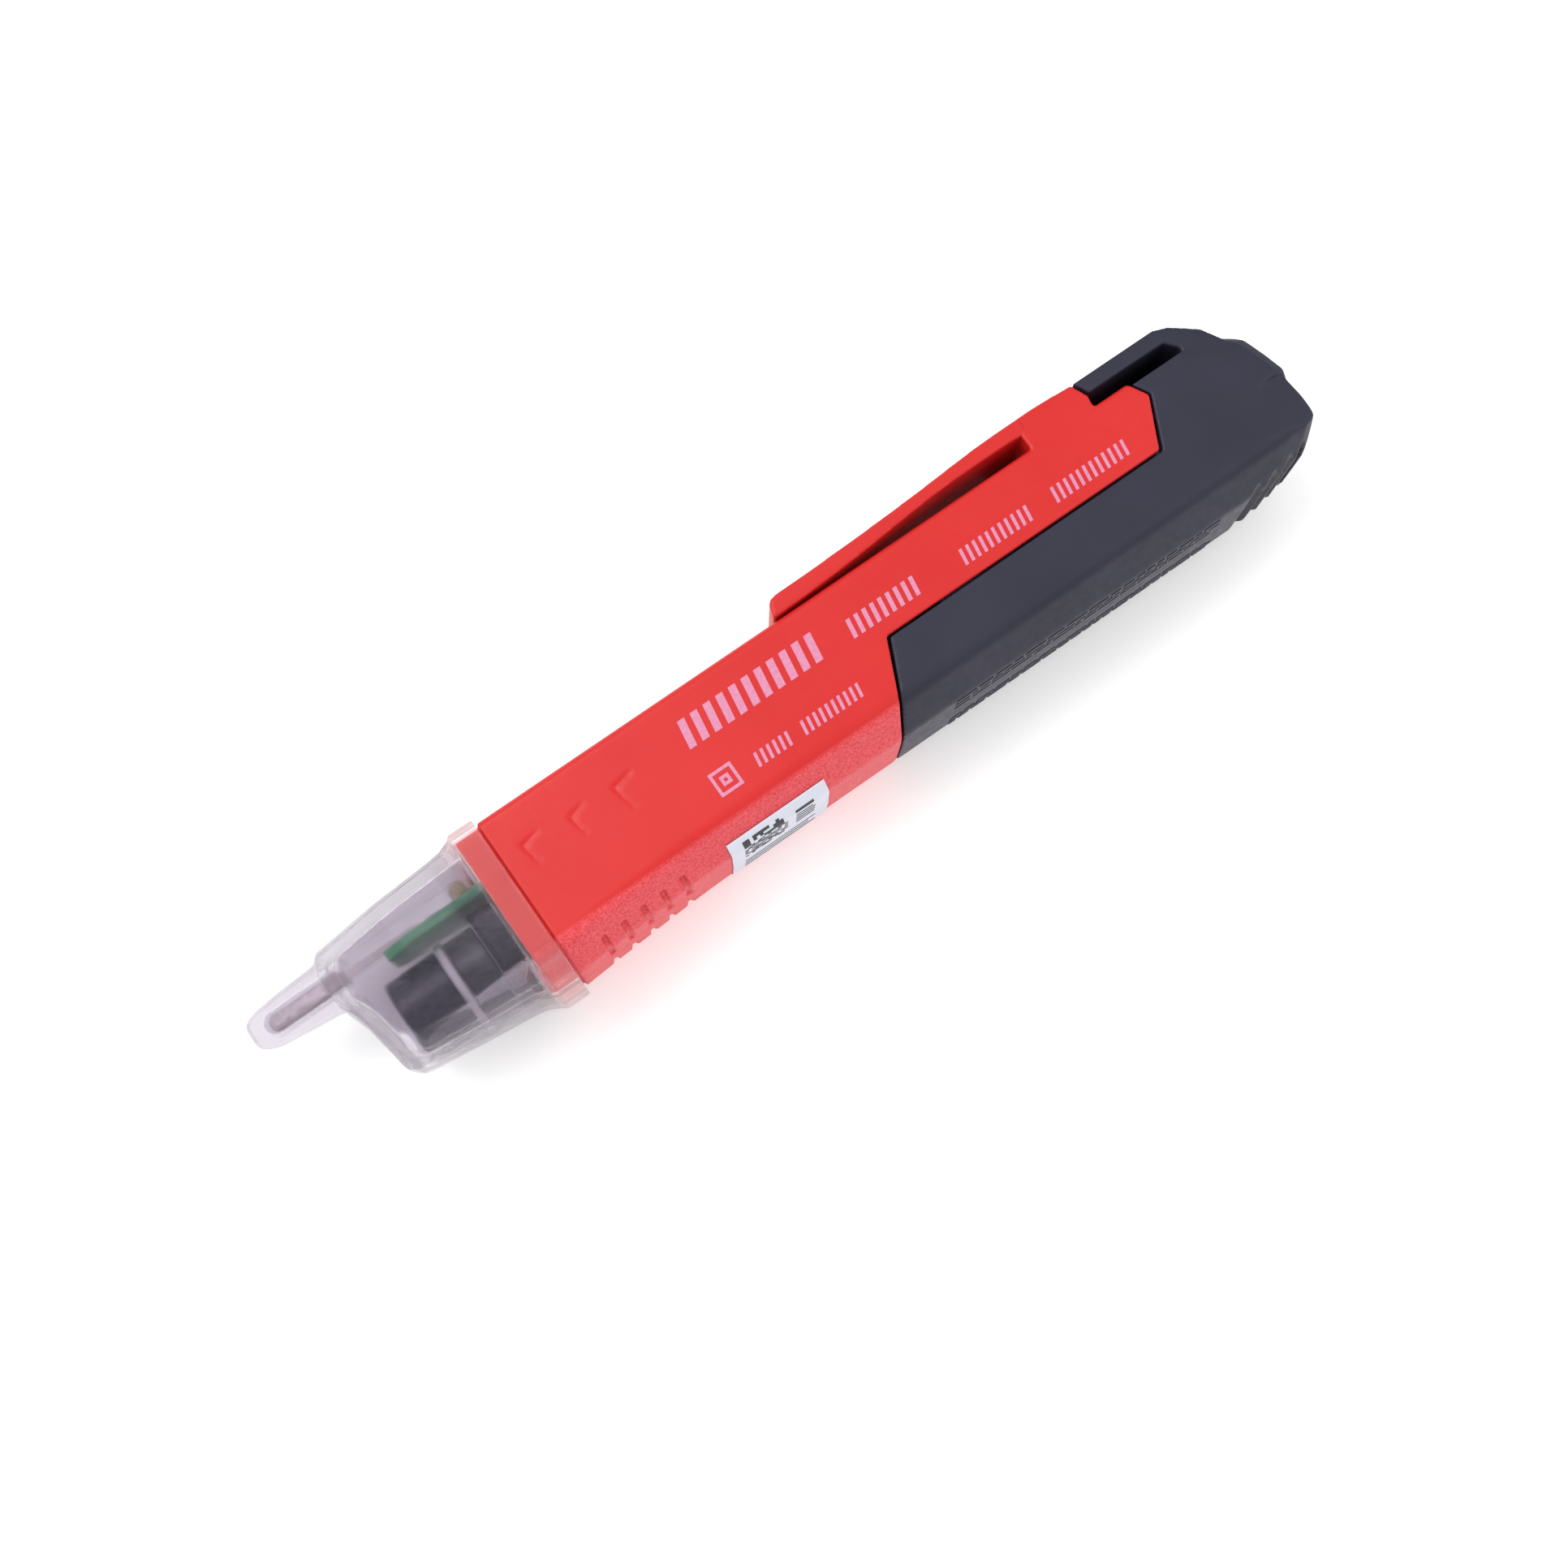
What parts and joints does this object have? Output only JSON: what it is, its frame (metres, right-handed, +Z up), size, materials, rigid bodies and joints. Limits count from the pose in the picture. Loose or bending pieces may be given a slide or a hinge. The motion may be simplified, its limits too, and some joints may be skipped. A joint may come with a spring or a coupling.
{
  "type": "non contact voltage tester",
  "caption": "Pen-shaped non contact voltage tester: clear sensing nose with torch and circuit board inside, red sleeve with pocket clip and press buttons, dark slide-off battery cover.",
  "frame": {"origin": "centre of the bounding box's base, below the middle of the pen lying on a wide face", "axes": "+X along the pen from the sensing tip to the tail, +Y out of the clip side with the buttons, +Z up out of the printed wide face"},
  "size_m": [0.1557, 0.0272, 0.0254],
  "materials": {
    "red_shell": "satin moulded red plastic, finely textured back",
    "red_clip": "satin moulded red plastic",
    "dark_cover": "satin dark blue-grey plastic",
    "clear_lens": "clear polished plastic, faint violet tint",
    "board_green": "green solder mask over glass-fibre board",
    "barrel_black": "smooth near-black plastic",
    "ring_white": "white plastic",
    "torch_led_resin": "clear resin with a yellow phosphor",
    "indicator_resin": "tinted clear resin",
    "contact_metal": "nickel-plated spring steel",
    "sensor_metal": "bare copper-alloy strip",
    "screw_steel": "zinc-plated steel",
    "switch_black": "black plastic",
    "plunger_grey": "grey plastic",
    "power_button_dark": "soft dark rubber",
    "torch_button_grey": "soft grey rubber",
    "chip_black": "black epoxy",
    "buzzer_black": "black plastic",
    "tray_black": "black plastic",
    "cell_sleeve_a": "plain printed sleeve over a metal can",
    "cell_sleeve_b": "plain printed sleeve over a metal can",
    "wire_red": "red insulation",
    "wire_black": "black insulation",
    "label_white": "white film sticker"
  },
  "bodies": {
    "housing": {"body_shell": "red_shell", "nose_lens": "clear_lens", "circuit_board": "board_green", "board_screw_1": "screw_steel", "board_screw_2": "screw_steel", "sensor_strip": "sensor_metal", "power_switch": "switch_black", "torch_switch": "switch_black", "torch_barrel": "barrel_black", "torch_ring": "ring_white", "torch_led": "torch_led_resin", "torch_holder": "barrel_black", "indicator_led": "indicator_resin", "controller_chip": "chip_black", "buzzer": "buzzer_black", "battery_tray": "tray_black", "battery_1": "cell_sleeve_a", "battery_2": "cell_sleeve_b", "positive_contact": "contact_metal", "negative_spring": "contact_metal", "lead_positive": "wire_red", "lead_negative": "wire_black", "rating_label": "label_white"},
    "battery_cover": {"battery_cover": "dark_cover", "bridge_contact": "contact_metal", "bridge_spring": "contact_metal"},
    "pocket_clip": {"pocket_clip": "red_clip"},
    "power_button": {"power_button": "power_button_dark", "power_plunger": "plunger_grey"},
    "torch_button": {"torch_button": "torch_button_grey", "torch_plunger": "plunger_grey"}
  },
  "joints": [
    {"name": "battery_cover_slide", "type": "slide", "parent": "housing", "child": "battery_cover", "axis": [1, 0, 0], "range_m": [0, 0.07]},
    {"name": "pocket_clip_flex", "type": "hinge", "parent": "housing", "child": "pocket_clip", "pos_m": [0.0442, 0.01322, 0.0127], "axis": [0, 0, -1], "range_deg": [0, 5], "stiffness_Nm_per_rad": 5},
    {"name": "power_button_press", "type": "slide", "parent": "housing", "child": "power_button", "axis": [0, -1, 0], "range_m": [0, 0.0006], "stiffness_N_per_m": 1500},
    {"name": "torch_button_press", "type": "slide", "parent": "housing", "child": "torch_button", "axis": [0, -1, 0], "range_m": [0, 0.0006], "stiffness_N_per_m": 1500}
  ]
}
